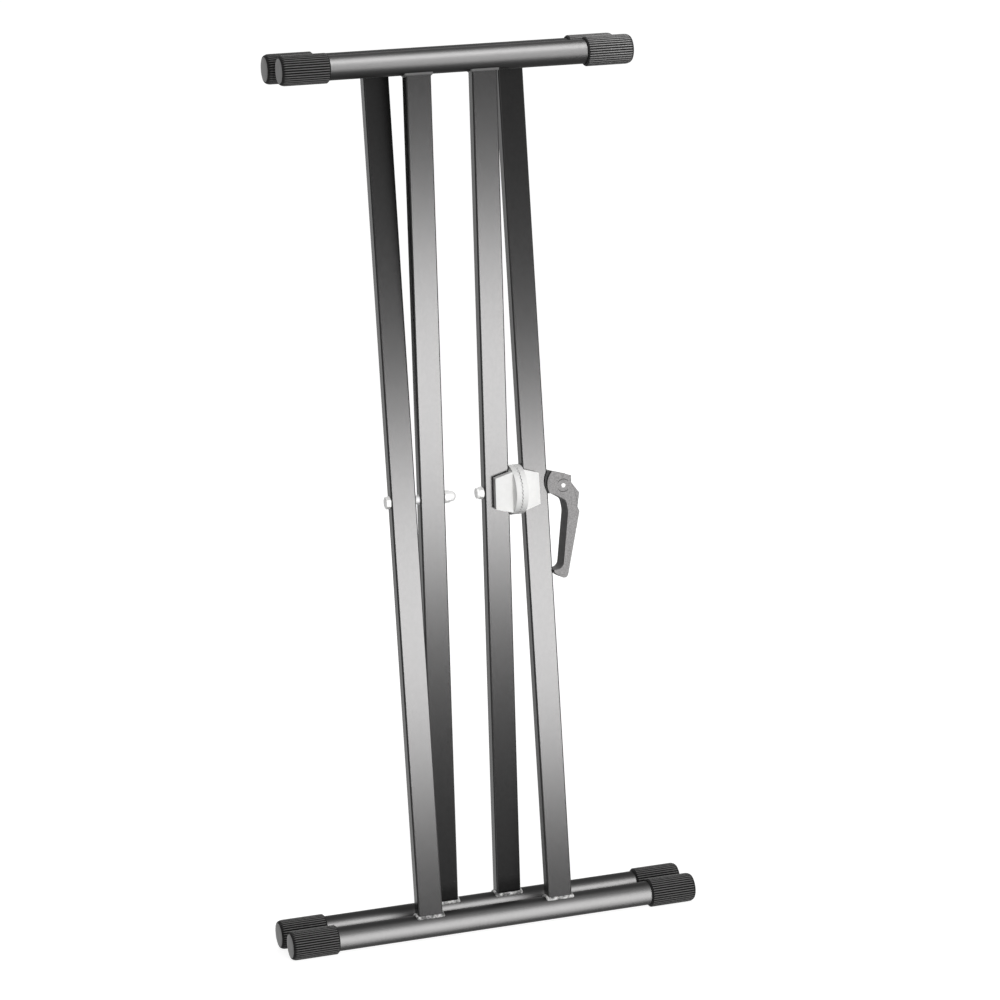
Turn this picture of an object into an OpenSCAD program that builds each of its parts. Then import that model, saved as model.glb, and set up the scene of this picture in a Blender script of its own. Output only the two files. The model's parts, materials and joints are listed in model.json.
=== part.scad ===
// Folding keyboard stand: two welded frames that cross at a pivot bolt and at a toothed
// clamp hub, shown folded flat. X runs along the tubes, Y to the rear, Z up, and the origin
// is on the floor under the middle of the base. All lengths are in millimetres.

/* [Frames] */
// Distance between the two tube axes of one frame, along its bars
frame_l = 1001; // [800:1:1200]
// Distance between the axes of the two top tubes when the stand is folded
fold_gap = 48; // [44:1:70]
// Distance between the centre lines of the two outer bars
bar_span = 161; // [150:1:200]
// Space between the pair of bars at the pivot bolt
pivot_space = 5; // [3:0.5:8]
// Space between the pair of bars at the clamp hub
hub_space = 17.5; // [15:0.5:24]

/* [Tubes] */
// Outer diameter of the top and base tubes
tube_d = 28; // [25:1:30]
// Wall of the top and base tubes
tube_wall = 1.5; // [1:0.25:2.5]
// Length of a base tube over its end caps
base_l = 500; // [420:5:600]
// Length of a top tube over its end caps
top_l = 417; // [360:1:500]
// Sideways offset of the top tube of the inner frame
top_shift = 3; // [-5:1:5]

/* [Bars] */
// Width of a bar, seen from the front
bar_w = 30; // [28:1:34]
// Depth of a bar, front to rear
bar_d = 15; // [14:0.5:16]
// Wall of a bar
bar_wall = 1.5; // [1:0.25:2]
// Outer corner radius of a bar
bar_corner = 2; // [1.75:0.25:2.5]
// Radius of the weld bead round each end of a bar
weld_r = 2.2; // [1.5:0.1:3]

/* [End caps] */
// Outer diameter of an end cap over its ribs
cap_d = 34; // [33:0.5:38]
// Length of an end cap
cap_l = 56; // [45:1:70]
// Thickness of the closed end of a cap
cap_end = 6; // [5.5:0.5:8]
// Rounding of the closed end
cap_round = 4.5; // [3:0.25:5]
// Number of ribs round a cap
rib_count = 36; // [24:1:44]
// Radius of the groove between two ribs
rib_groove_r = 0.8; // [0.5:0.05:0.9]

/* [Clamp hub] */
// Diameter of the toothed discs
hub_d = 58; // [52:1:64]
// Depth of the casting round a bar, front to rear
lug_d = 31; // [26:1:36]
// Height of the casting at its outer end
lug_end_h = 36.6; // [30:0.2:40]
// How far the inner casting reaches over its bar
inner_reach = 19.5; // [16:0.5:24]
// How far the outer casting reaches over its bar
outer_reach = 17; // [15:0.5:24]
// Plain web between a bar and the disc beside it
hub_web = 1.5; // [1:0.25:2.5]
// Number of teeth round a disc
tooth_count = 40; // [24:1:48]
// Height of a tooth along the pivot axis
tooth_h = 1.1; // [0.6:0.1:1.6]
// Radial length of a tooth
tooth_len = 2; // [1:0.25:4]
// Flat width left on the crest of a tooth at its inner end
tooth_land = 0.2; // [0.1:0.05:0.5]
// Radius of the pocket for the release spring
pocket_r = 10; // [9.5:0.25:14]
// Depth of the spring pocket in each disc
pocket_depth = 4.5; // [3:0.25:5]
// Wire diameter of the release spring
spring_wire = 1.3; // [1:0.1:1.6]
// Space between two turns of the release spring
spring_space = 0.5; // [0.45:0.05:1]

/* [Pivot bolt and nuts] */
// Diameter of the pivot bolt and of the clamp rod
bolt_d = 8; // [6:0.5:10]
// Size of bolt head and nuts across their flats
nut_af = 13; // [13:0.5:15]
// Thickness of the bolt head
head_t = 5.3; // [4:0.1:7]
// Length of the six-sided part of the domed nut
nut_hex_t = 6.5; // [5:0.5:8]
// Length of the round dome of that nut
nut_dome_t = 7.5; // [6.5:0.5:9]
// Thickness of the thrust washers
washer_t = 1; // [0.6:0.1:1.5]
// Length of the lock nut on the clamp rod
lock_nut_t = 7.3; // [5:0.1:9]
// Wall of the bush in each bar
bush_wall = 2; // [1:0.25:2.5]
// Wall of the spacer between the bars at the pivot bolt
spacer_wall = 1; // [0.75:0.25:2]

/* [Clamp lever] */
// Distance of the lever's pin from the side of its bar
pin_out = 17.8; // [17.5:0.1:20]
// Diameter of the lever's pin
pin_d = 5; // [4:0.5:6]
// Length of the lever below its pin
lever_l = 108; // [90:1:130]
// Depth of the lever, front to rear
lever_d = 22.6; // [21.6:0.2:26]
// Thickness of the two cheeks of the lever's head
cheek_t = 1.9; // [1.2:0.1:2.2]
// Radius of the head's round outline
head_r = 21.5; // [20.5:0.1:22]
// Radius of the cam between the cheeks
cam_r = 14; // [13:0.1:14]
// Offset of the cam's centre from the pin
cam_throw = 1.5; // [0.5:0.1:1.5]
// Angle through which the lever opens, in degrees
lever_turn = 100; // [80:5:110]
// Travel of the clamp rod while the lever opens
rod_travel = 1; // [0.4:0.1:1.2]
// Radius of the eye at the end of the clamp rod
eye_r = 6.5; // [6:0.25:7]
// Width of that eye, front to rear
eye_w = 8.4; // [6:0.2:9]
// Thickness of the cheeks of the saddle in front of and behind the bar
saddle_cheek = 1.3; // [1:0.1:1.4]
// How far the saddle's cheeks reach over the bar
saddle_reach = 4.2; // [3:0.1:6]
// Thickness of the saddle at its upper end
saddle_t = 4.8; // [4:0.1:5]

/* [Clearances] */
// Running clearance of a shaft in its bore, on the radius
run_gap = 0.08; // [0.03:0.01:0.1]
// Clearance of a fitted piece on its seat
seat_gap = 0.05; // [0.02:0.01:0.08]
// Space between faces that turn past each other
face_gap = 0.15; // [0.1:0.05:0.3]
// Space between the cam or a cheek and what it moves past
cam_gap = 0.3; // [0.2:0.05:0.4]

/* [Hidden] */

// Smoothness of large and of small round faces
$fn = 96;
small_fn = 48;
// Overrun of every cut past the face that it opens
over = 0.5;

// Lean of each frame when folded, and the height of the pivot axis above the floor
lean = asin(fold_gap / frame_l);
pivot_z = cap_d / 2 + frame_l / 2 * cos(lean);

// Centre lines of the four bars, from left to right
outer_left_x = -bar_span / 2;
inner_left_x = outer_left_x + bar_w + pivot_space;
outer_right_x = bar_span / 2;
inner_right_x = outer_right_x - bar_w - hub_space;

tube_r = tube_d / 2;
bolt_r = bolt_d / 2;
bush_r = bolt_r + run_gap + bush_wall;
hub_r = hub_d / 2;
hub_mid_x = outer_right_x - bar_w / 2 - hub_space / 2;
// Thickness of one half of the hub, from its bar's face to its toothed face
half_t = (hub_space - face_gap) / 2;
// Height of the casting where its flat front runs into the disc, just inside the rim
lug_root_h = 2 * sqrt(hub_r * hub_r - lug_d * lug_d / 4) - over;
pin_x = outer_right_x + bar_w / 2 + pin_out;
// Depth between the lever's cheeks, and the slot in the cam for the rod's eye
fork_d = lever_d - 2 * cheek_t;
eye_slot_d = eye_w + 2 * cam_gap;
saddle_d = bar_d + 2 * cam_gap + 2 * saddle_cheek;

// Shares of head_r that place the lever head's outline round its pin
head_centre_share = [0.093, 0.093];
head_arc_shares = [133, 207] / 360;
head_top_share = [0.488, 0.507];
head_notch_share = [0.465, 0.126];
head_under_share = [-0.498, -0.454];
// Shares of lever_l that place the arm's outline below the pin
throat_shares = [[-0.03, -0.131], [0.012, -0.162], [0.027, -0.206], [0.037, -0.284], [0.031, -0.34]];
foot_inner_shares = [[-0.0435, -0.826], [-0.053, -0.862], [-0.086, -0.8955], [-0.13, -0.905]];
foot_tip_shares = [[-0.161, -0.909], [-0.161, -0.932]];
foot_sole_shares = [[-0.13, -0.955], [-0.081, -0.989]];
heel_centre_share = [-0.047, -0.957];
heel_r_share = 0.046;
heel_arc_shares = [228, 348] / 360;
elbow_share = [0.1685, -0.297];
// Shares of lever_l for the insert in the outer side of the lever
insert_low_share = [0.15, -0.251];
insert_peak_share = [0.179, -0.093];
insert_bow_share = 0.0125;
// Share of cam_r below the pin at which the fork between the cheeks starts
fork_root_share = 0.75;
// Share of the lock nut's length that is six-sided
nut_hex_share = 0.65;
// Shares of head_r for the upper and lower ends of the saddle
saddle_high_share = 0.85;
saddle_low_share = 0.375;

function along(share, size) = [share[0] * size, share[1] * size];
function arc(centre, r, from, to, steps) =
    [for (i = [0 : steps]) let (a = from + (to - from) * i / steps)
        [centre[0] + r * cos(a), centre[1] + r * sin(a)]];
// Points of a curve between two ends that bows to one side, without the ends
function bowed(a, b, bow, steps) =
    let (dx = b[0] - a[0], dy = b[1] - a[1], l = sqrt(dx * dx + dy * dy))
    [for (i = [1 : steps - 1]) let (s = i / steps, h = 4 * bow * s * (1 - s))
        [a[0] + dx * s + dy / l * h, a[1] + dy * s - dx / l * h]];

// Point on a smooth curve between b and c, which comes from a and goes on to d
function between(a, b, c, d, s) =
    ((c - a) * s + (2 * a - 5 * b + 4 * c - d) * s * s + (3 * b - a - 3 * c + d) * s * s * s) / 2 + b;
// Points of a smooth curve through all points of a list
function smooth(p, steps) =
    let (n = len(p) - 1, q = concat([2 * p[0] - p[1]], p, [2 * p[n] - p[n - 1]]))
    concat([for (i = [1 : n], j = [0 : steps - 1]) between(q[i - 1], q[i], q[i + 1], q[i + 2], j / steps)],
        [p[n]]);

// Puts an upright frame's pieces at the pivot and leans them as the folded frame leans
module inner_place() { translate([0, 0, pivot_z]) rotate([lean, 0, 0]) children(); }
module outer_place() { translate([0, 0, pivot_z]) rotate([-lean, 0, 0]) children(); }

// Turns a shape drawn upwards so that it points along +X
module along_x() { rotate([0, 90, 0]) children(); }

// Extrudes an outline drawn in X and Z to a plate of this depth, centred front to rear
module plate(depth) { rotate([90, 0, 0]) linear_extrude(height = depth, center = true) children(); }

module ring(r_out, r_in, length) {
    difference() {
        cylinder(h = length, r = r_out);
        translate([0, 0, -over]) cylinder(h = length + 2 * over, r = r_in);
    }
}

// Round tube of a frame, between the closed ends of its two caps
module tube(length) {
    inside = length - 2 * cap_end;
    along_x() translate([0, 0, -inside / 2]) ring(tube_r, tube_r - tube_wall, inside);
}

// Rectangle with round corners, centred
module bar_outline(r) {
    square([bar_w - 2 * r, bar_d], center = true);
    square([bar_w, bar_d - 2 * r], center = true);
    for (sx = [-1, 1], sy = [-1, 1])
        translate([sx * (bar_w / 2 - r), sy * (bar_d / 2 - r)]) circle(r = r, $fn = small_fn);
}

// Hollow bar whose ends are cut to fit the round tubes, with a hole for its bush
module bar(x) {
    translate([x, 0, 0]) difference() {
        translate([0, 0, -frame_l / 2]) linear_extrude(height = frame_l) difference() {
            bar_outline(bar_corner);
            square([bar_w - 2 * bar_wall, bar_d - 2 * bar_wall], center = true);
        }
        for (s = [-1, 1])
            translate([-bar_w / 2 - over, 0, s * frame_l / 2])
                along_x() cylinder(h = bar_w + 2 * over, r = tube_r);
        translate([-bar_w / 2 - over, 0, 0])
            along_x() cylinder(h = bar_w + 2 * over, r = bush_r + seat_gap, $fn = small_fn);
    }
}

// Weld bead round the upper end of a bar, under the top tube
module weld(x) {
    spread = asin(bar_d / 2 / tube_r);
    drop = tube_r * cos(spread);
    translate([x, 0, frame_l / 2]) difference() {
        union() {
            for (s = [-1, 1]) {
                translate([-bar_w / 2, s * bar_d / 2, -drop])
                    along_x() cylinder(h = bar_w, r = weld_r, $fn = small_fn);
                translate([s * bar_w / 2, 0, 0]) rotate([0, 90, 0]) rotate([0, 0, -spread])
                    rotate_extrude(angle = 2 * spread)
                        translate([tube_r, 0]) circle(r = weld_r, $fn = small_fn);
                for (t = [-1, 1])
                    translate([s * bar_w / 2, t * bar_d / 2, -drop]) sphere(r = weld_r, $fn = small_fn);
            }
        }
        translate([-bar_w, 0, 0]) along_x() cylinder(h = 2 * bar_w, r = tube_r);
        translate([0, 0, -2 * tube_r]) linear_extrude(height = 2 * tube_r) bar_outline(bar_corner);
    }
}

module frame_welds(left_x, right_x) {
    for (x = [left_x, right_x]) {
        weld(x);
        mirror([0, 0, 1]) weld(x);
    }
}

// Ribbed end cap whose closed end lies at x = 0 and whose mouth points to -X
module cap() {
    rib_l = cap_l - cap_round;
    base_r = cap_d / 2 - rib_groove_r;
    rotate([0, -90, 0]) difference() {
        union() {
            translate([0, 0, cap_round]) linear_extrude(height = rib_l) difference() {
                circle(r = cap_d / 2);
                for (i = [0 : rib_count - 1])
                    rotate(360 / rib_count * (i + 0.5))
                        translate([cap_d / 2, 0]) circle(r = rib_groove_r, $fn = small_fn / 2);
            }
            rotate_extrude() polygon(concat(
                [[0, cap_round + over], [0, 0]],
                arc([base_r - cap_round, cap_round], cap_round, -90, 0, 12),
                [[base_r, cap_round + over]]));
        }
        translate([0, 0, cap_end]) cylinder(h = cap_l, r = tube_r + seat_gap);
    }
}

module cap_at(end_x, tube_z, side) {
    translate([end_x, 0, tube_z]) mirror([side < 0 ? 1 : 0, 0, 0]) cap();
}

// Bush that carries the pivot bolt or the clamp rod through a bar
module bush(x) {
    translate([x - bar_w / 2, 0, 0]) along_x()
        ring(bush_r, bolt_r + run_gap, bar_w, $fn = small_fn);
}

// Half of the hub: a casting that holds a bar, and a disc with teeth round its face.
// Its bar's face lies at x = 0 and the toothed face points to +X.
module hub_half(reach, phase) {
    pitch = 360 / tooth_count;
    notch_w = 2 * (hub_r - tooth_len) * tan(pitch / 2) - tooth_land;
    difference() {
        union() {
            plate(lug_d) polygon([
                [-reach, -lug_end_h / 2], [-reach, lug_end_h / 2],
                [hub_web + over, lug_root_h / 2], [hub_web + over, -lug_root_h / 2]]);
            translate([hub_web, 0, 0]) along_x() cylinder(h = half_t - hub_web, r = hub_r);
        }
        translate([-reach - over, -bar_d / 2 - seat_gap, -hub_d])
            cube([reach + over, bar_d + 2 * seat_gap, 2 * hub_d]);
        for (i = [0 : tooth_count - 1])
            rotate([phase + i * pitch, 0, 0]) translate([half_t, 0, hub_r - tooth_len])
                linear_extrude(height = tooth_len + over)
                    polygon([[-tooth_h, 0],
                        [over, -notch_w / 2 * (1 + over / tooth_h)],
                        [over, notch_w / 2 * (1 + over / tooth_h)]]);
        translate([half_t - pocket_depth, 0, 0])
            along_x() cylinder(h = pocket_depth + over, r = pocket_r);
        translate([-over, 0, 0])
            along_x() cylinder(h = half_t + 2 * over, r = bolt_r + cam_gap, $fn = small_fn);
    }
}

// Coil spring that pushes the two discs apart when the lever is open
module spring() {
    rings = 14;
    sides = 6;
    coil_r = (bolt_r + pocket_r) / 2;
    length = 2 * pocket_depth + face_gap - 2 * cam_gap - spring_wire;
    count = floor(length / (spring_wire + spring_space) * rings) + 1;
    centres = [for (i = [0 : count - 1]) let (a = 360 * i / rings)
        [length * i / (count - 1), coil_r * cos(a), coil_r * sin(a)]];
    points = [for (i = [0 : count - 1], k = [0 : sides - 1])
        let (a = 360 * i / rings, b = 360 * k / sides, r = spring_wire / 2)
        centres[i] + r * [sin(b), cos(b) * cos(a), cos(b) * sin(a)]];
    least = min([for (i = [0 : count - 1], j = [i + rings / 2 : 1 : count - 1])
        norm(centres[i] - centres[j])]) - spring_wire;
    echo(least_space_between_turns = least);
    translate([hub_mid_x - length / 2, 0, 0]) polyhedron(points = points, faces = concat(
        [[for (k = [0 : sides - 1]) k]],
        [[for (k = [sides - 1 : -1 : 0]) (count - 1) * sides + k]],
        [for (i = [0 : count - 2], k = [0 : sides - 1], half = [0, 1])
            let (p = i * sides + k, q = i * sides + (k + 1) % sides)
            half == 0 ? [p, p + sides, q] : [q, p + sides, q + sides]]));
}

// Six-sided prism along +X whose corners are cut by a cone at the far end
module hex_prism(length) {
    corner_r = nut_af / 2 / cos(30);
    chamfer = (corner_r - nut_af / 2) * tan(30);
    intersection() {
        along_x() cylinder(h = length, r = corner_r, $fn = 6);
        along_x() rotate_extrude() polygon([
            [0, 0], [corner_r + over, 0], [corner_r + over, length - chamfer - over * tan(30)],
            [nut_af / 2, length], [0, length]]);
    }
}

// Hexagon head and plain shank, through both left bars and into the domed nut
module bolt() {
    left = outer_left_x - bar_w / 2;
    right = inner_left_x + bar_w / 2 + face_gap + washer_t + nut_hex_t;
    translate([left, 0, 0]) mirror([1, 0, 0]) hex_prism(head_t);
    translate([left - over, 0, 0]) along_x()
        cylinder(h = right - left + over, r = bolt_r, $fn = small_fn);
}

module spacer() {
    translate([outer_left_x + bar_w / 2, 0, 0]) along_x()
        ring(bolt_r + seat_gap + spacer_wall, bolt_r + seat_gap, pivot_space - face_gap, $fn = small_fn);
}

module washer(x) {
    translate([x, 0, 0]) along_x() ring(nut_af / 2, bolt_r + seat_gap, washer_t, $fn = small_fn);
}

// Domed nut on the right end of the pivot bolt
module dome_nut() {
    dome_r = nut_af / 2 - cam_gap;
    straight = nut_dome_t - dome_r;
    translate([inner_left_x + bar_w / 2 + face_gap + washer_t, 0, 0]) difference() {
        union() {
            hex_prism(nut_hex_t);
            along_x() cylinder(h = nut_hex_t + straight, r = dome_r);
            translate([nut_hex_t + straight, 0, 0]) along_x() rotate_extrude()
                polygon(concat([[0, 0]], arc([0, 0], dome_r, 0, 90, 16)));
        }
        translate([-over, 0, 0]) along_x()
            cylinder(h = nut_hex_t + over, r = bolt_r + seat_gap, $fn = small_fn);
    }
}

// Clamp rod through both right bars, with an eye for the lever's pin
module rod() {
    nut_end = inner_right_x - bar_w / 2 - face_gap - washer_t - lock_nut_t;
    difference() {
        union() {
            translate([nut_end, 0, 0]) along_x() cylinder(h = pin_x - nut_end, r = bolt_r, $fn = small_fn);
            translate([pin_x, 0, 0]) plate(eye_w) circle(r = eye_r);
        }
        translate([pin_x, 0, 0]) plate(eye_w + 2 * over) circle(r = pin_d / 2 + run_gap, $fn = small_fn);
    }
}

// Lock nut on the left end of the clamp rod, with the collar that holds its plastic ring
module lock_nut() {
    hex_t = lock_nut_t * nut_hex_share;
    collar_r = nut_af / 2 - cam_gap;
    translate([inner_right_x - bar_w / 2 - face_gap - washer_t, 0, 0]) mirror([1, 0, 0]) difference() {
        union() {
            hex_prism(hex_t);
            along_x() cylinder(h = lock_nut_t, r = collar_r);
        }
        translate([-over, 0, 0]) along_x()
            cylinder(h = lock_nut_t + 2 * over, r = bolt_r + seat_gap, $fn = small_fn);
    }
}

// Space that the cam sweeps while the lever opens and its pin moves inwards
module cam_sweep() {
    steps = 5;
    for (i = [0 : steps]) {
        turn = lever_turn * i / steps;
        translate([-rod_travel * i / steps - cam_throw * cos(turn), -cam_throw * sin(turn)])
            circle(r = cam_r + cam_gap);
    }
}

// Black saddle between the outer right bar and the cam, with cheeks over the bar's edges
module saddle() {
    high = head_r * saddle_high_share;
    low = -head_r * saddle_low_share;
    rise = (high - low) / 2;
    round_r = (rise * rise + saddle_reach * saddle_reach) / 2 / saddle_reach;
    translate([pin_x, 0, 0]) difference() {
        plate(saddle_d) intersection() {
            translate([-pin_out - saddle_reach + round_r, (high + low) / 2]) circle(r = round_r);
            translate([-pin_out - saddle_reach, low]) square([saddle_reach + saddle_t, high - low]);
        }
        translate([-pin_out - bar_w, -bar_d / 2 - cam_gap, low - over])
            cube([bar_w, bar_d + 2 * cam_gap, high - low + 2 * over]);
        plate(saddle_d + 2 * over) cam_sweep();
        translate([-pin_out - over, 0, 0]) along_x()
            cylinder(h = pin_out, r = bolt_r + cam_gap, $fn = small_fn);
    }
}

// Side view of the lever round its pin, without the insert
module lever_outline() {
    notch = along(head_notch_share, head_r);
    insert_low = along(insert_low_share, lever_l);
    polygon(concat(
        [along(head_top_share, head_r)],
        arc(along(head_centre_share, head_r), head_r, 360 * head_arc_shares[0], 360 * head_arc_shares[1], 20),
        smooth(concat([along(head_under_share, head_r)], [for (p = throat_shares) along(p, lever_l)]), 4),
        smooth([for (p = foot_inner_shares) along(p, lever_l)], 4),
        [for (p = foot_tip_shares) along(p, lever_l)],
        [for (p = foot_sole_shares) along(p, lever_l)],
        arc(along(heel_centre_share, lever_l), heel_r_share * lever_l,
            360 * heel_arc_shares[0], 360 * heel_arc_shares[1], 6),
        [along(elbow_share, lever_l), insert_low],
        bowed(insert_low, notch, insert_bow_share * lever_l, 8),
        [notch]));
}

// Insert in the lever's outer side, which fills the outline's bowed recess
module insert_outline() {
    notch = along(head_notch_share, head_r);
    insert_low = along(insert_low_share, lever_l);
    translate([seat_gap, 0]) polygon(concat(
        [notch, along(insert_peak_share, lever_l), insert_low],
        bowed(insert_low, notch, insert_bow_share * lever_l, 8)));
}

module lever() {
    translate([pin_x, 0, 0]) difference() {
        union() {
            difference() {
                plate(lever_d) lever_outline();
                plate(fork_d) translate([-2 * head_r, -cam_r * fork_root_share]) square(4 * head_r);
            }
            plate(fork_d + cheek_t) intersection() {
                lever_outline();
                union() {
                    circle(r = cam_r);
                    translate([-cam_throw, 0]) circle(r = cam_r);
                }
            }
        }
        plate(eye_slot_d) translate([-2 * head_r, -eye_r - cam_gap])
            square([2 * head_r + eye_r + 2 * cam_gap, 4 * head_r]);
        plate(lever_d + 2 * over) circle(r = pin_d / 2 + seat_gap, $fn = small_fn);
    }
}

module inner_top_tube() { color("#6e6c6f") inner_place() translate([top_shift, 0, frame_l / 2]) tube(top_l); }
module inner_base_tube() { color("#6e6c6f") inner_place() translate([0, 0, -frame_l / 2]) tube(base_l); }
module inner_left_bar() { color("#858386") inner_place() bar(inner_left_x); }
module inner_right_bar() { color("#858386") inner_place() bar(inner_right_x); }
module inner_frame_welds() { color("#9a9a9c") inner_place() frame_welds(inner_left_x, inner_right_x); }
module inner_top_cap_left() {
    color("#2b2b2c") inner_place() cap_at(top_shift - top_l / 2, frame_l / 2, -1);
}
module inner_top_cap_right() {
    color("#2b2b2c") inner_place() cap_at(top_shift + top_l / 2, frame_l / 2, 1);
}
module inner_base_cap_left() { color("#2b2b2c") inner_place() cap_at(-base_l / 2, -frame_l / 2, -1); }
module inner_base_cap_right() { color("#2b2b2c") inner_place() cap_at(base_l / 2, -frame_l / 2, 1); }
module inner_left_bush() { color("#b8b8ba") inner_place() bush(inner_left_x); }
module inner_right_bush() { color("#b8b8ba") inner_place() bush(inner_right_x); }
module hub_inner_half() {
    color("#e8e8e6") inner_place() translate([inner_right_x + bar_w / 2, 0, 0])
        hub_half(inner_reach, -lean);
}
module hub_spring() { color("#a0a0a4") inner_place() spring(); }

module outer_top_tube() { color("#6e6c6f") outer_place() translate([0, 0, frame_l / 2]) tube(top_l); }
module outer_base_tube() { color("#6e6c6f") outer_place() translate([0, 0, -frame_l / 2]) tube(base_l); }
module outer_left_bar() { color("#858386") outer_place() bar(outer_left_x); }
module outer_right_bar() { color("#858386") outer_place() bar(outer_right_x); }
module outer_frame_welds() { color("#9a9a9c") outer_place() frame_welds(outer_left_x, outer_right_x); }
module outer_top_cap_left() { color("#2b2b2c") outer_place() cap_at(-top_l / 2, frame_l / 2, -1); }
module outer_top_cap_right() { color("#2b2b2c") outer_place() cap_at(top_l / 2, frame_l / 2, 1); }
module outer_base_cap_left() { color("#2b2b2c") outer_place() cap_at(-base_l / 2, -frame_l / 2, -1); }
module outer_base_cap_right() { color("#2b2b2c") outer_place() cap_at(base_l / 2, -frame_l / 2, 1); }
module outer_left_bush() { color("#b8b8ba") outer_place() bush(outer_left_x); }
module outer_right_bush() { color("#b8b8ba") outer_place() bush(outer_right_x); }
module hub_outer_half() {
    color("#e8e8e6") outer_place() translate([outer_right_x - bar_w / 2, 0, 0])
        mirror([1, 0, 0]) hub_half(outer_reach, lean + 180 / tooth_count);
}

module pivot_bolt() { color("#dcdcdc") outer_place() bolt(); }
module pivot_spacer() { color("#dcdcdc") outer_place() spacer(); }
module pivot_washer() { color("#dcdcdc") outer_place() washer(inner_left_x + bar_w / 2 + face_gap); }
module pivot_dome_nut() { color("#e6e6e6") outer_place() dome_nut(); }

module clamp_rod() { color("#dcdcdc") outer_place() rod(); }
module rod_lock_nut() { color("#dcdcdc") outer_place() lock_nut(); }
module rod_washer() {
    color("#dcdcdc") outer_place() washer(inner_right_x - bar_w / 2 - face_gap - washer_t);
}
module lever_saddle() { color("#141414") outer_place() saddle(); }

module clamp_lever() { color("#9b999a") outer_place() lever(); }
module lever_insert() {
    color("#9b999a") outer_place() translate([pin_x, 0, 0]) plate(lever_d) insert_outline();
}
module lever_pin() {
    color("#f2f2f2") outer_place() translate([pin_x, 0, 0]) plate(lever_d + cam_gap)
        circle(r = pin_d / 2, $fn = small_fn);
}

inner_top_tube();
inner_base_tube();
inner_left_bar();
inner_right_bar();
inner_frame_welds();
inner_top_cap_left();
inner_top_cap_right();
inner_base_cap_left();
inner_base_cap_right();
inner_left_bush();
inner_right_bush();
hub_inner_half();
hub_spring();
outer_top_tube();
outer_base_tube();
outer_left_bar();
outer_right_bar();
outer_frame_welds();
outer_top_cap_left();
outer_top_cap_right();
outer_base_cap_left();
outer_base_cap_right();
outer_left_bush();
outer_right_bush();
hub_outer_half();
pivot_bolt();
pivot_spacer();
pivot_washer();
pivot_dome_nut();
clamp_rod();
rod_lock_nut();
rod_washer();
lever_saddle();
clamp_lever();
lever_insert();
lever_pin();
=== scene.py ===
"""Looks of the folding keyboard stand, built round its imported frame, in metres except where named in mm."""

import json
import math

import bmesh
import bpy
from mathutils import Matrix, Vector


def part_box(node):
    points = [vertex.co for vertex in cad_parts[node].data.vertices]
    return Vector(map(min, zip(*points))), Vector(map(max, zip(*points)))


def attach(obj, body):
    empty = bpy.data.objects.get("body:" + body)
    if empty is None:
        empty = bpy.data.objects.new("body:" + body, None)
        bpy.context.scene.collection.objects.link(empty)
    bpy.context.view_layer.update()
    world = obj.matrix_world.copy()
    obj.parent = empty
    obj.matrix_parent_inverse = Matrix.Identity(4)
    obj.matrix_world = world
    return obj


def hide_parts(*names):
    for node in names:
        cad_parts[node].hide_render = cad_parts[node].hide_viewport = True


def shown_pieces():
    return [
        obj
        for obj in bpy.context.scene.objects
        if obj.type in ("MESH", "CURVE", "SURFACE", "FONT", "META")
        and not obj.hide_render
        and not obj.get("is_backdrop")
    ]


MM = 0.001

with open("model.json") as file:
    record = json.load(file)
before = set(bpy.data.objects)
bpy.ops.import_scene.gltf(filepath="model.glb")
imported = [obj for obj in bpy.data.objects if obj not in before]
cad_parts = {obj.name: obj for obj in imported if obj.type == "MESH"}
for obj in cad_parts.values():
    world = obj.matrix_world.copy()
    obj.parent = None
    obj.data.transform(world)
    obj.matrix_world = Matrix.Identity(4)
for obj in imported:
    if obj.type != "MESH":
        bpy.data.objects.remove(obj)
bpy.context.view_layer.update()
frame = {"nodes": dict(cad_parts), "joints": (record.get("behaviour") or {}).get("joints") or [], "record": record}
NODES = frame["nodes"]
BODY_OF = {node: body for body, nodes in frame["record"]["behaviour"]["bodies"].items() for node in nodes}
SLOT_OF = {part["node"]: part["material_slot"] for part in frame["record"]["subparts"]}
JOINT = {joint["name"]: joint for joint in frame["joints"]}


# Camera at the photograph's viewing angle
CAMERA_AT = (-1.2683, -3.7554, 1.2362)
CAMERA_YAW, CAMERA_PITCH, CAMERA_ROLL = 19.1875, 10.4045, -2.6117
CAMERA_LENS_MM = 125.58
CAMERA_REACH = 200


def look_matrix(place, yaw, pitch, roll):
    """Camera matrix from degrees: yaw right of +Y, pitch down and roll about the view."""
    yaw, pitch, roll = map(math.radians, (yaw, pitch, roll))
    forward = Vector((math.sin(yaw) * math.cos(pitch), math.cos(yaw) * math.cos(pitch), -math.sin(pitch)))
    right = Vector((math.cos(yaw), -math.sin(yaw), 0))
    up = right.cross(forward)
    rolled_right = math.cos(roll) * right + math.sin(roll) * up
    rolled_up = math.cos(roll) * up - math.sin(roll) * right
    turn = Matrix((rolled_right, rolled_up, -forward)).transposed()
    return Matrix.Translation(place) @ turn.to_4x4()


def make_camera():
    """Camera that sees the stand as the photograph does."""
    data = bpy.data.cameras.new("camera")
    data.lens = CAMERA_LENS_MM
    data.clip_end = CAMERA_REACH
    camera = bpy.data.objects.new("camera", data)
    camera.matrix_world = look_matrix(CAMERA_AT, CAMERA_YAW, CAMERA_PITCH, CAMERA_ROLL)
    bpy.context.scene.collection.objects.link(camera)
    bpy.context.scene.camera = camera


make_camera()
bpy.context.scene.view_settings.view_transform = "Standard"


# Helpers for procedural materials

# Most values of a noise texture lie in this range
NOISE_LOW, NOISE_HIGH = 0.3, 0.7


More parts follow.
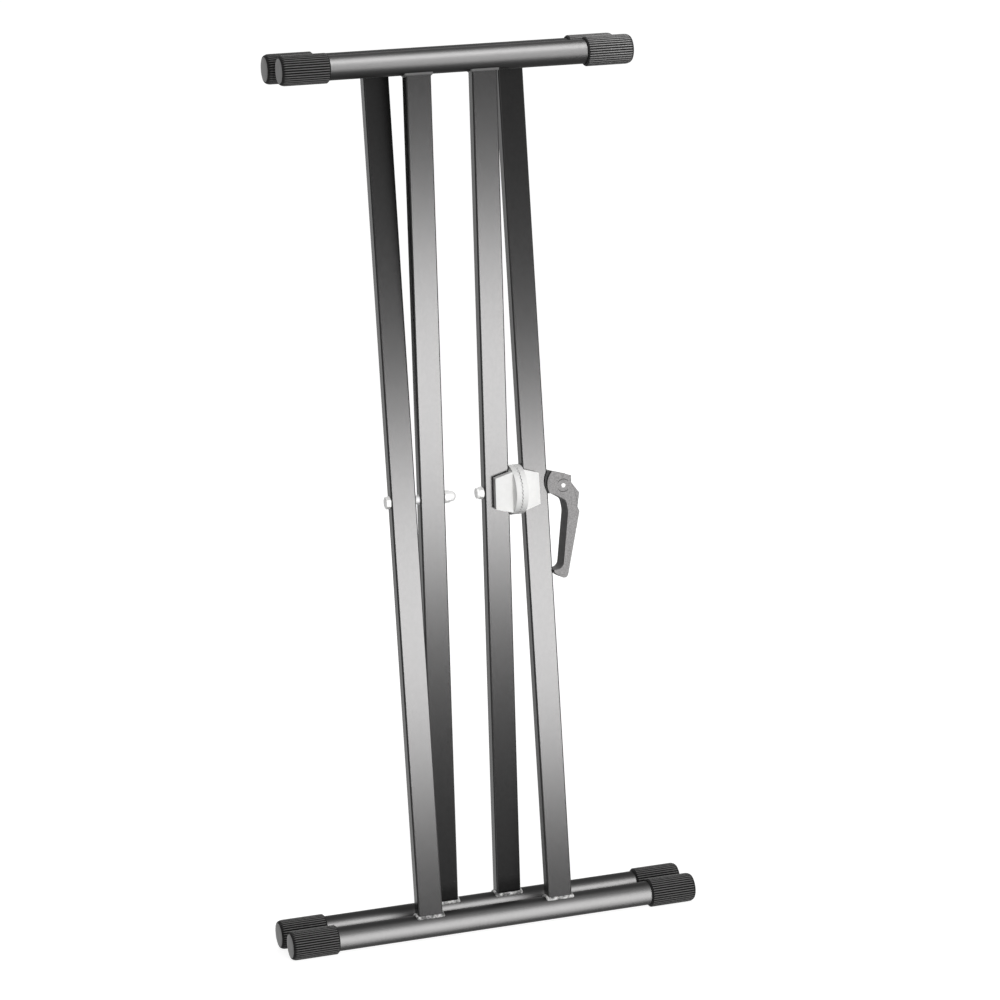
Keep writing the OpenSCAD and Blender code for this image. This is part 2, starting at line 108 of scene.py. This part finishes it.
def new_material(name, base, roughness, metallic=0.0, **sockets):
    """A Principled material, its shader, and its node tree. Plain values are set on the shader itself."""
    material = bpy.data.materials.new(name)
    material.use_nodes = True
    tree = material.node_tree
    shader = tree.nodes["Principled BSDF"]
    shader.inputs["Base Color"].default_value = (*base, 1)
    shader.inputs["Roughness"].default_value = roughness
    shader.inputs["Metallic"].default_value = metallic
    for socket, value in sockets.items():
        shader.inputs[socket.replace("_", " ")].default_value = value
    return material, shader, tree


def add_node(tree, kind, **values):
    """A new node, with values for its sockets or settings of those names."""
    node = tree.nodes.new(kind)
    for key, value in values.items():
        if key in node.inputs:
            node.inputs[key].default_value = value
        else:
            setattr(node, key, value)
    return node


def own_coordinates(tree, kind="Object"):
    """The object's own coordinates in metres or, as Normal, the direction of its surface."""
    return add_node(tree, "ShaderNodeTexCoord").outputs[kind]


def stretched_coordinates(tree, stretch=(1, 1, 1)):
    """The object's own coordinates, each axis times its stretch."""
    mapping = add_node(tree, "ShaderNodeMapping", Scale=stretch)
    tree.links.new(own_coordinates(tree), mapping.inputs["Vector"])
    return mapping.outputs["Vector"]


def split(tree, vector):
    """Sockets for the X, Y and Z of a vector."""
    parts = add_node(tree, "ShaderNodeSeparateXYZ")
    tree.links.new(vector, parts.inputs["Vector"])
    return parts.outputs


def arithmetic(tree, operation, first, second=0):
    """One sum of two sockets or numbers, or of the first alone."""
    node = add_node(tree, "ShaderNodeMath", operation=operation)
    for place, value in enumerate((first, second)):
        if isinstance(value, (int, float)):
            node.inputs[place].default_value = value
        else:
            tree.links.new(value, node.inputs[place])
    return node.outputs["Value"]


def noise(tree, place, scale, detail, roughness=0.55):
    """Noise of so many cells to a metre."""
    node = add_node(tree, "ShaderNodeTexNoise", Scale=scale, Detail=detail, Roughness=roughness)
    tree.links.new(place, node.inputs["Vector"])
    return node.outputs["Fac"]


def spread(tree, value, low, high, from_low=NOISE_LOW, from_high=NOISE_HIGH):
    """The value moved from one range to another, and held inside it."""
    node = add_node(tree, "ShaderNodeMapRange")
    node.inputs["From Min"].default_value = from_low
    node.inputs["From Max"].default_value = from_high
    node.inputs["To Min"].default_value = low
    node.inputs["To Max"].default_value = high
    tree.links.new(value, node.inputs["Value"])
    return node.outputs["Result"]


def tint(tree, value, first, second):
    """Colour from the first tone at 0 to the second at 1. A tone is three numbers or a colour socket."""
    node = add_node(tree, "ShaderNodeMix", data_type="RGBA")
    for place, tone in (("A", first), ("B", second)):
        if isinstance(tone, bpy.types.NodeSocket):
            tree.links.new(tone, node.inputs[place])
        else:
            node.inputs[place].default_value = (*tone, 1)
    tree.links.new(value, node.inputs["Factor"])
    return node.outputs["Result"]


def mottled(tree, place, scale, detail, dark, light):
    """Colour that a noise moves between two tones."""
    return tint(tree, spread(tree, noise(tree, place, scale, detail), 0, 1), dark, light)


def set_colour(tree, shader, colour):
    """Base colour from a socket."""
    tree.links.new(colour, shader.inputs["Base Color"])


def vary_roughness(tree, shader, place, scale, detail, smooth, rough):
    """Roughness that a noise moves between two values."""
    roughness = spread(tree, noise(tree, place, scale, detail), smooth, rough)
    tree.links.new(roughness, shader.inputs["Roughness"])


def add_bump(tree, shader, height, depth_mm):
    """Bumps by a height from 0 to 1, of a depth in mm."""
    node = add_node(tree, "ShaderNodeBump", Distance=depth_mm * MM)
    tree.links.new(height, node.inputs["Height"])
    tree.links.new(node.outputs["Normal"], shader.inputs["Normal"])


# Paint on the bars and tubes

PAINT_HUE = (1, 0.985, 0.985)
PAINT_DARKER = (0.975, 0.965, 0.965)
PAINT_LIGHTER = (1.025, 1.012, 1.01)
# The larger of a normal's X and Y: an edge of a bar up to the first, and a flat face from the second
BAR_EDGE, BAR_FACE = 0.95, 0.99


def black_paint(name, tone, smooth, rough, edge=1.0):
    """Satin black paint that reflects as metal does, with a faint orange peel: material, shader and tree."""
    hue, darker, lighter = ([share * tone for share in shares]
                            for shares in (PAINT_HUE, PAINT_DARKER, PAINT_LIGHTER))
    material, shader, tree = new_material(name, hue, (smooth + rough) / 2, metallic=1.0,
                                          Specular_Tint=(edge, edge, edge, 1), Specular_IOR_Level=0.0)
    place = stretched_coordinates(tree)
    set_colour(tree, shader, mottled(tree, place, scale=400, detail=4, dark=darker, light=lighter))
    vary_roughness(tree, shader, place, scale=250, detail=4, smooth=smooth, rough=rough)
    add_bump(tree, shader, noise(tree, place, scale=900, detail=2), depth_mm=0.01)
    return material, shader, tree


def flat_faces(tree):
    """One on the flat faces of the bars, and zero on their rounded edges."""
    parts = split(tree, own_coordinates(tree, "Normal"))
    side = arithmetic(tree, "ABSOLUTE", parts["X"])
    front = arithmetic(tree, "ABSOLUTE", parts["Y"])
    return spread(tree, arithmetic(tree, "MAXIMUM", side, front), 0, 1, BAR_EDGE, BAR_FACE)


def frame_paint():
    """The paint of the bars, with no reflection on their rounded edges, which show as dark lines of painted shade.
    """
    material, shader, tree = black_paint("frame_paint", tone=0.014, smooth=0.23, rough=0.25)
    # Rounded edges lose all reflection, as painted shade
    tree.links.new(flat_faces(tree), shader.inputs["Metallic"])
    return material


def tube_paint():
    """The same paint on the tubes, where it dried less smooth."""
    return black_paint("tube_paint", tone=0.025, smooth=0.42, rough=0.45, edge=0.65)[0]


# Rubber and plastic

def cap_rubber():
    """Black rubber with a painted sheen on its crests and painted shade in its grooves, with fine moulding grain.
    """
    material, shader, tree = new_material("cap_rubber", (0.02, 0.02, 0.02), 0.34, Specular_IOR_Level=0.3)
    place = stretched_coordinates(tree)
    crest = add_node(tree, "ShaderNodeAttribute", attribute_name="crest").outputs["Fac"]
    # The near-black grooves are painted shade, and the pale crests a painted sheen
    groove_shade_tone, crest_sheen_tone = (0.003, 0.003, 0.003), (0.15, 0.148, 0.147)
    crest_sheen = spread(tree, crest, 0, 1, from_low=0.65, from_high=1.0)
    patchy = spread(tree, noise(tree, place, scale=150, detail=5), 0.8, 1.0)
    sheen_and_shade = arithmetic(tree, "MULTIPLY", crest_sheen, patchy)
    set_colour(tree, shader, tint(tree, sheen_and_shade, groove_shade_tone, crest_sheen_tone))
    polish = spread(tree, crest, 0.8, 0.38, from_low=0.6, from_high=1.0)
    uneven = spread(tree, noise(tree, place, scale=200, detail=4), 0.85, 1.0)
    tree.links.new(arithmetic(tree, "MULTIPLY", polish, uneven), shader.inputs["Roughness"])
    add_bump(tree, shader, noise(tree, place, scale=2500, detail=3), depth_mm=0.01)
    return material


def black_plastic():
    """Moulded black plastic with a fine spark finish."""
    material, shader, tree = new_material("black_plastic", (0.012, 0.012, 0.012), 0.42)
    place = stretched_coordinates(tree)
    dark, light = (0.009, 0.009, 0.009), (0.018, 0.018, 0.018)
    set_colour(tree, shader, mottled(tree, place, scale=300, detail=3, dark=dark, light=light))
    vary_roughness(tree, shader, place, scale=800, detail=3, smooth=0.36, rough=0.5)
    add_bump(tree, shader, noise(tree, place, scale=3000, detail=2), depth_mm=0.02)
    return material


# Castings

HUB_TEETH = 40
HUB_TOOTH_MM = 2.2
# Distances from the zigzag where its line starts to fade and where it ends
HUB_LINE_CORE_MM, HUB_LINE_END_MM = 0.32, 0.48
# A normal's Y: a narrow side of the lever up to the first, and a cheek from the second
LEVER_SIDE, LEVER_CHEEK = 0.5, 0.9


def hub_casting():
    """Bright satin die casting, softly mottled, with the zigzag joint of its two toothed rims."""
    material, shader, tree = new_material("hub_casting", (0.9, 0.9, 0.89), 0.5, Specular_IOR_Level=0.25)
    place = stretched_coordinates(tree)
    bright = mottled(tree, place, scale=160, detail=5, dark=(0.91, 0.91, 0.9), light=(0.95, 0.95, 0.94))
    joint_tone = (0.6, 0.6, 0.6)
    set_colour(tree, shader, tint(tree, zigzag_line(tree), bright, joint_tone))
    vary_roughness(tree, shader, place, scale=300, detail=4, smooth=0.42, rough=0.58)
    add_bump(tree, shader, noise(tree, place, scale=1500, detail=4), depth_mm=0.04)
    return material


def zigzag_line(tree):
    """One on the thin line where the two toothed rims meet, and zero beside it."""
    inner_low, inner_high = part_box("hub_inner_half")
    outer_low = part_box("hub_outer_half")[0]
    middle = (inner_high[0] + outer_low[0]) / 2
    axis_height = (inner_low[2] + inner_high[2]) / 2
    parts = split(tree, own_coordinates(tree))
    height = arithmetic(tree, "SUBTRACT", parts["Z"], axis_height)
    turn = arithmetic(tree, "ARCTAN2", height, parts["Y"])
    teeth = arithmetic(tree, "MULTIPLY", turn, HUB_TEETH / math.pi)
    wave = arithmetic(tree, "PINGPONG", arithmetic(tree, "ADD", teeth, 2 * HUB_TEETH), 1)
    offset = arithmetic(tree, "MULTIPLY", arithmetic(tree, "SUBTRACT", wave, 0.5), HUB_TOOTH_MM * MM)
    across = arithmetic(tree, "SUBTRACT", parts["X"], middle)
    away = arithmetic(tree, "ABSOLUTE", arithmetic(tree, "SUBTRACT", across, offset))
    return spread(tree, away, 1, 0, HUB_LINE_CORE_MM * MM, HUB_LINE_END_MM * MM)


def lever_casting(name="lever_casting", dark=(0.25, 0.245, 0.245), light=(0.47, 0.46, 0.46)):
    """Grey casting with a visible grain on its blasted cheeks, and dark on its narrow sides."""
    material, shader, tree = new_material(name, light, 0.6, Specular_IOR_Level=0.12)
    place = stretched_coordinates(tree)
    grain = noise(tree, place, scale=700, detail=7, roughness=0.75)
    cheek_tone = tint(tree, spread(tree, grain, 0, 1, from_low=0.38, from_high=0.62), dark, light)
    side_tone = (0.13, 0.128, 0.128)
    set_colour(tree, shader, tint(tree, cheek_faces(tree), side_tone, cheek_tone))
    vary_roughness(tree, shader, place, scale=300, detail=4, smooth=0.5, rough=0.66)
    add_bump(tree, shader, grain, depth_mm=0.12)
    return material


def cheek_faces(tree):
    """One on faces turned to the lever's pin axis, and zero on the narrow sides between them."""
    parts = split(tree, own_coordinates(tree, "Normal"))
    return spread(tree, arithmetic(tree, "ABSOLUTE", parts["Y"]), 0, 1, LEVER_SIDE, LEVER_CHEEK)


def lever_ridge_painted_shade():
    """The casting on its raised arcs, darker as painted shade that sets them off."""
    # The darker tones here are painted shade on the arcs
    return lever_casting("lever_ridge_painted_shade", dark=(0.12, 0.118, 0.118), light=(0.2, 0.197, 0.197))


# Steel

STEEL_RINGS = (6, 1, 1)
# Heights up to which the welds carry a painted highlight and from which they show only their paint
WELD_HIGHLIGHT_BELOW, WELD_PAINTED = 0.3, 0.7


def plated_fastener():
    """Bright zinc plating."""
    material, shader, tree = new_material("plated_fastener", (0.93, 0.93, 0.92), 0.3, metallic=0.1)
    place = stretched_coordinates(tree)
    colour = mottled(tree, place, scale=400, detail=4, dark=(0.88, 0.88, 0.87), light=(0.97, 0.97, 0.96))
    set_colour(tree, shader, colour)
    vary_roughness(tree, shader, place, scale=500, detail=4, smooth=0.24, rough=0.38)
    return material


def plain_steel():
    """Turned steel with fine rings round its axis."""
    material, shader, tree = new_material("plain_steel", (0.8, 0.8, 0.8), 0.35, metallic=0.15)
    place = stretched_coordinates(tree, STEEL_RINGS)
    colour = mottled(tree, place, scale=600, detail=3, dark=(0.74, 0.74, 0.75), light=(0.88, 0.88, 0.88))
    set_colour(tree, shader, colour)
    vary_roughness(tree, shader, place, scale=900, detail=3, smooth=0.28, rough=0.42)
    return material


def weld_bead():
    """Uneven weld bead, in the frame's dark paint at the top and pale at the base as a painted highlight, where it
    faces up to the light.
    """
    material, shader, tree = new_material("weld_bead", (0.6, 0.6, 0.6), 0.45, metallic=0.1)
    place = stretched_coordinates(tree)
    low_down = spread(tree, split(tree, place)["Z"], 1, 0, WELD_HIGHLIGHT_BELOW, WELD_PAINTED)
    patchy = spread(tree, noise(tree, place, scale=220, detail=4), 0, 1, from_low=0.4, from_high=0.6)
    base_highlight = arithmetic(tree, "MULTIPLY", low_down, patchy)
    painted_tone, base_highlight_tone = (0.13, 0.129, 0.129), (0.8, 0.8, 0.79)
    # The pale tone low down is a painted highlight
    set_colour(tree, shader, tint(tree, base_highlight, painted_tone, base_highlight_tone))
    vary_roughness(tree, shader, place, scale=400, detail=3, smooth=0.35, rough=0.55)
    add_bump(tree, shader, noise(tree, place, scale=500, detail=3), depth_mm=0.3)
    return material


MATERIALS = {make.__name__: make() for make in (
    frame_paint, tube_paint, cap_rubber, hub_casting, lever_casting, lever_ridge_painted_shade,
    plated_fastener, plain_steel, weld_bead, black_plastic)}


def dress(piece, name):
    """Gives a piece one material."""
    piece.data.materials.clear()
    piece.data.materials.append(MATERIALS[name])


for node_name, cad in NODES.items():
    dress(cad, "tube_paint" if node_name.endswith("_tube") else SLOT_OF[node_name])


# Rounded edges on the castings and fasteners

EDGE_RADII_MM = {
    "hub_inner_half": 0.3, "hub_outer_half": 0.3, "clamp_lever": 0.35, "lever_insert": 0.6,
    "lever_saddle": 0.3, "pivot_bolt": 0.25, "pivot_dome_nut": 0.25, "rod_lock_nut": 0.25,
    "pivot_washer": 0.15, "rod_washer": 0.15, "lever_pin": 0.8}
EDGE_SEGMENTS = 2
EDGE_SHARP_DEGREES = 35
FACE_JOIN_MM = 0.005


def round_edges(node_name, radius_mm):
    """Joins the faces of a CAD node and rounds its sharp edges."""
    weld = NODES[node_name].modifiers.new("weld", "WELD")
    weld.merge_threshold = FACE_JOIN_MM * MM
    bevel = NODES[node_name].modifiers.new("bevel", "BEVEL")
    bevel.width = radius_mm * MM
    bevel.segments = EDGE_SEGMENTS
    bevel.limit_method = "ANGLE"
    bevel.angle_limit = math.radians(EDGE_SHARP_DEGREES)


for node_name, radius in EDGE_RADII_MM.items():
    round_edges(node_name, radius)


# New pieces

PIECE_SHARP_DEGREES = 40


def new_piece(name, mesh_builder, material, body):
    """Object from a bmesh, smooth except at its sharp edges, on one body."""
    mesh = bpy.data.meshes.new(name)
    mesh_builder.to_mesh(mesh)
    mesh_builder.free()
    mesh.shade_smooth()
    mesh.set_sharp_from_angle(angle=math.radians(PIECE_SHARP_DEGREES))
    piece = bpy.data.objects.new(name, mesh)
    bpy.context.scene.collection.objects.link(piece)
    dress(piece, material)
    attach(piece, body)
    return piece


def join_rings(builder, rings):
    """Quads between rings of as many vertices each."""
    for first, second in zip(rings, rings[1:]):
        for i in range(len(first)):
            following = (i + 1) % len(first)
            builder.faces.new((first[i], first[following], second[following], second[i]))


# Ribbed end cap

# Points, as distance from the closed end and radius in mm, and depth of the ribs from 0 to 1
CAP_BORE_PROFILE = [(5.9, 0.0, 0), (5.9, 14.03, 0), (55.4, 14.03, 0), (56.0, 14.4, 0)]
CAP_OUTER_PROFILE = [
    (56.0, 15.3, 0), (55.7, 15.7, 0), (55.0, 15.9, 0), (54.7, 16.7, 0.5), (54.2, 17.0, 1),
    (30.0, 17.0, 1), (6.4, 17.0, 1), (4.4, 16.85, 1), (2.9, 16.45, 0.9), (1.7, 15.9, 0.7),
    (0.9, 15.35, 0.4), (0.35, 14.85, 0.1)]
CAP_FACE_PROFILE = [
    (0.3, 14.55, 0), (0.75, 14.35, 0), (0.75, 14.15, 0), (0.1, 13.85, 0), (0.0, 13.4, 0), (0.0, 7.0, 0)]
RIB_COUNT = 36
RIB_STEPS = 8
RIB_DEPTH_MM = 1.5
RIB_FULLNESS = 0.9
# Smooth parts within this of the closed end get the crests' painted sheen
FACE_DEPTH_MM = 0.2


def rib_height(step):
    """Height over the groove's bottom at a step within a rib, from 0 to 1."""
    return math.sin(math.pi * step / RIB_STEPS) ** RIB_FULLNESS


def make_cap(node_name):
    """Rubber cap: bore, lip, rounded ribs, shoulder, and a smooth end face in a shallow ring groove."""
    low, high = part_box(node_name)
    side = -1 if node_name.endswith("left") else 1
    end_x = low[0] if side < 0 else high[0]
    centre_y, centre_z = (low[1] + high[1]) / 2, (low[2] + high[2]) / 2
    builder = bmesh.new()

    def vertex(inset_mm, radius_mm, angle):
        radius = radius_mm * MM
        return builder.verts.new((end_x - side * inset_mm * MM,
                                  centre_y + radius * math.cos(angle), centre_z + radius * math.sin(angle)))

    count = RIB_COUNT * RIB_STEPS
    rings = []
    # Rib height, which the rubber turns into painted sheen on the crests and painted shade in the grooves
    crest = builder.verts.layers.float.new("crest")
    for inset, radius, ribs in CAP_BORE_PROFILE[1:] + CAP_OUTER_PROFILE + CAP_FACE_PROFILE:
        depths = [RIB_DEPTH_MM * ribs * (1 - rib_height(i % RIB_STEPS)) for i in range(count)]
        ring = [vertex(inset, radius - depth, 2 * math.pi * i / count) for i, depth in enumerate(depths)]
        for i, point in enumerate(ring):
            point[crest] = rib_height(i % RIB_STEPS) * ribs if ribs else float(inset < FACE_DEPTH_MM)
        rings.append(ring)
    join_rings(builder, rings)
    for ring, inset in ((rings[0], CAP_BORE_PROFILE[0][0]), (rings[-1], CAP_FACE_PROFILE[-1][0])):
        centre = vertex(inset, 0, 0)
        centre[crest] = 1
        for i in range(count):
            builder.faces.new((ring[i], ring[(i + 1) % count], centre))
    bmesh.ops.recalc_face_normals(builder, faces=builder.faces)
    cap = new_piece(node_name + "_ribbed", builder, "cap_rubber", BODY_OF[node_name])
    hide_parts(node_name)


for node_name in NODES:
    if "_cap_" in node_name:
        make_cap(node_name)


# Two raised arcs round the pin on each cheek of the lever

LEVER_HALF_DEPTH_MM = 11.3
ARC_RADIUS_MM = 7.4
ARC_WIDTH_MM = 1.3
ARC_HEIGHT_MM = 0.5
ARC_SPANS_DEGREES = [(35, 150), (205, 320)]
ARC_STEPS = 24
ARC_LEAST_FADE = 0.05
# Half-round section, as shares of the width and the height, with its foot inside the cheek
ARC_SECTION = [(-0.5, -0.3), (-0.5, 0.0), (-0.3, 0.75), (0, 1), (0.3, 0.75), (0.5, 0.0), (0.5, -0.3)]


def make_arcs(side):
    """Two half-round ridges on the cheek that faces the front (-1) or the back (1)."""
    low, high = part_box("lever_pin")
    middle = (Vector(low) + Vector(high)) / 2
    swing = Vector(JOINT["lever_swing"]["axis"]).normalized()
    outward = swing if side * swing.y > 0 else -swing
    along = Vector((1, 0, 0))
    up = outward.cross(along) if outward.cross(along).z > 0 else along.cross(outward)
    face = middle + outward * LEVER_HALF_DEPTH_MM * MM
    builder = bmesh.new()
    for start, end in ARC_SPANS_DEGREES:
        rings = []
        for step in range(ARC_STEPS + 1):
            angle = math.radians(start + (end - start) * step / ARC_STEPS)
            fade = math.sqrt(max(ARC_LEAST_FADE, math.sin(math.pi * step / ARC_STEPS)))
            spoke = along * math.cos(angle) + up * math.sin(angle)
            ring = []
            for across, height in ARC_SECTION:
                reach = (ARC_RADIUS_MM + across * ARC_WIDTH_MM * fade) * MM
                rise = (height * ARC_HEIGHT_MM * (fade if height > 0 else 1)) * MM
                ring.append(builder.verts.new(face + spoke * reach + outward * rise))
            rings.append(ring)
        join_rings(builder, rings)
        for ring in (rings[0], rings[-1]):
            builder.faces.new(ring)
    bmesh.ops.recalc_face_normals(builder, faces=builder.faces)
    name = "lever_arcs_front" if side < 0 else "lever_arcs_back"
    # The arcs carry painted shade in their darker material
    arcs = new_piece(name, builder, "lever_ridge_painted_shade", "lever_group")


make_arcs(-1)
make_arcs(1)


# Floor and world, where a glow of 1 is white

WHITE = (1, 1, 1, 1)
FLOOR_REACH = 60.0
FLOOR_TONE = (0.3, 0.3, 0.3)
FLOOR_NEAR, FLOOR_FAR = 1.0, 3.0
FLOOR_NEAR_GLOW, FLOOR_FAR_GLOW = 0.9, 1.0
SOFT_LIGHT = 0.13


def mix_shaders(tree, factor, first, second):
    """The second shader where the factor is one, and the first where it is zero."""
    node = add_node(tree, "ShaderNodeMixShader")
    tree.links.new(factor, node.inputs["Fac"])
    tree.links.new(first, node.inputs[1])
    tree.links.new(second, node.inputs[2])
    return node.outputs["Shader"]


def eye_rays(tree):
    """One for what the camera sees, straight or through glass."""
    path = add_node(tree, "ShaderNodeLightPath")
    return arithmetic(tree, "MAXIMUM", path.outputs["Is Camera Ray"], path.outputs["Is Transmission Ray"])


def make_floor():
    """Pale floor that only the eye sees, with a faint shadow near the object. Other rays go through it."""
    mesh = bpy.data.meshes.new("floor")
    corners = [(x * FLOOR_REACH, y * FLOOR_REACH, 0) for x, y in ((-1, -1), (1, -1), (1, 1), (-1, 1))]
    mesh.from_pydata(corners, [], [(0, 1, 2, 3)])
    floor = bpy.data.objects.new("floor", mesh)
    bpy.context.scene.collection.objects.link(floor)
    material, shader, tree = new_material("floor", FLOOR_TONE, 1.0, Specular_IOR_Level=0.0)
    away = add_node(tree, "ShaderNodeVectorMath", operation="LENGTH")
    tree.links.new(own_coordinates(tree), away.inputs[0])
    strength = spread(tree, away.outputs["Value"], FLOOR_NEAR_GLOW, FLOOR_FAR_GLOW, FLOOR_NEAR, FLOOR_FAR)
    glow = add_node(tree, "ShaderNodeEmission", Color=WHITE)
    tree.links.new(strength, glow.inputs["Strength"])
    lit = add_node(tree, "ShaderNodeAddShader")
    tree.links.new(glow.outputs["Emission"], lit.inputs[0])
    tree.links.new(shader.outputs["BSDF"], lit.inputs[1])
    clear = add_node(tree, "ShaderNodeBsdfTransparent")
    both = mix_shaders(tree, eye_rays(tree), clear.outputs["BSDF"], lit.outputs["Shader"])
    tree.links.new(both, tree.nodes["Material Output"].inputs["Surface"])
    mesh.materials.append(material)
    floor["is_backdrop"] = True


def make_world():
    """White surroundings to the eye and in reflections, and soft light from all round."""
    world = bpy.data.worlds.new("world")
    bpy.context.scene.world = world
    world.use_nodes = True
    tree = world.node_tree
    soft = tree.nodes["Background"]
    soft.inputs["Color"].default_value = WHITE
    soft.inputs["Strength"].default_value = SOFT_LIGHT
    seen = add_node(tree, "ShaderNodeBackground", Color=WHITE)
    path = add_node(tree, "ShaderNodeLightPath")
    seeing = arithmetic(tree, "MAXIMUM", eye_rays(tree), path.outputs["Is Glossy Ray"])
    both = mix_shaders(tree, seeing, soft.outputs["Background"], seen.outputs["Background"])
    tree.links.new(both, tree.nodes["World Output"].inputs["Surface"])


make_floor()
make_world()


# Soft boxes

def soft_box(name, place, target, width, height, radiance, only_on):
    """Area light that faces a point, with the brightness of its own surface."""
    data = bpy.data.lights.new(name, "AREA")
    data.shape = "RECTANGLE"
    data.size, data.size_y = width, height
    data.energy = radiance * math.pi * width * height
    light = bpy.data.objects.new(name, data)
    light.location = place
    light.rotation_mode = "QUATERNION"
    light.rotation_quaternion = (Vector(target) - Vector(place)).to_track_quat("-Z", "Y")
    light.visible_glossy = bool(only_on)
    bpy.context.scene.collection.objects.link(light)
    if only_on:
        receivers = bpy.data.collections.new(name + "_receivers")
        for piece in only_on:
            receivers.objects.link(piece)
        light.light_linking.receiver_collection = receivers


TOP_TUBES = [NODES["inner_top_tube"], NODES["outer_top_tube"]]
FRONT_BASE_TUBE = [NODES["outer_base_tube"]]
REAR_BASE_TUBE = [NODES["inner_base_tube"]]
TUBES = TOP_TUBES + FRONT_BASE_TUBE + REAR_BASE_TUBE
BARS = [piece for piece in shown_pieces() if piece.name.endswith("_bar")]
OTHERS = [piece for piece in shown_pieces() if piece not in TUBES + BARS]
TOP_RIGHT_CAPS = [piece for piece in OTHERS if piece.name.endswith("top_cap_right_ribbed")]
FASTENERS = [NODES[name] for name, slot in SLOT_OF.items() if slot in ("plated_fastener", "plain_steel")]

BASE, MIDDLE, TOP = (0, 0, 0), (0, 0, 0.5), (0, 0, 1)
PANEL_AT, PANEL_FACES = (0.62, -1.74, 0.17), (0.03, 0, 0.17)

# Name, place, the point that the box faces, width, height, radiance, and the pieces that it lights.
# A box with no pieces lights everything and shows in no reflection.
SOFT_BOXES = [
    ("bar_panel", PANEL_AT, PANEL_FACES, 1.7, 0.56, 55.39, BARS),
    ("low_panel", PANEL_AT, PANEL_FACES, 1.7, 0.56, 2.35, OTHERS),
    ("cap_panel", (1.5, -1.9, 2.2), (0.2, 0, 1.0), 0.9, 0.6, 60.0, TOP_RIGHT_CAPS),
    ("fastener_panel", (-1.9, -2.2, 1.0), MIDDLE, 1.4, 1.4, 4.0, FASTENERS),
    ("key", (-0.1, -3.0, 1.7), MIDDLE, 1.4, 1.4, 11.8, []),
    ("rear", (0.9, 2.6, 2.0), MIDDLE, 1.6, 1.6, 6.0, []),
    ("top_wide", (0.72, -1.55, 1.5), TOP, 2.6, 3.4, 14.52, TOP_TUBES),
    ("top_core", (0.5, -0.9, 2.45), TOP, 2.4, 1.3, 21.12, TOP_TUBES),
    ("base_wide", (0.62, -1.74, -0.25), BASE, 2.6, 4.0, 15.84, FRONT_BASE_TUBE),
    ("base_core", (0.62, -1.74, 0.0), BASE, 2.6, 1.8, 11.22, FRONT_BASE_TUBE),
    ("base_high", (0.6, -1.2, 2.0), BASE, 2.6, 1.8, 4.0, FRONT_BASE_TUBE),
    ("rear_base", (0.6, -1.9, 1.15), BASE, 2.6, 1.8, 33.0, REAR_BASE_TUBE)]
for box in SOFT_BOXES:
    soft_box(*box)
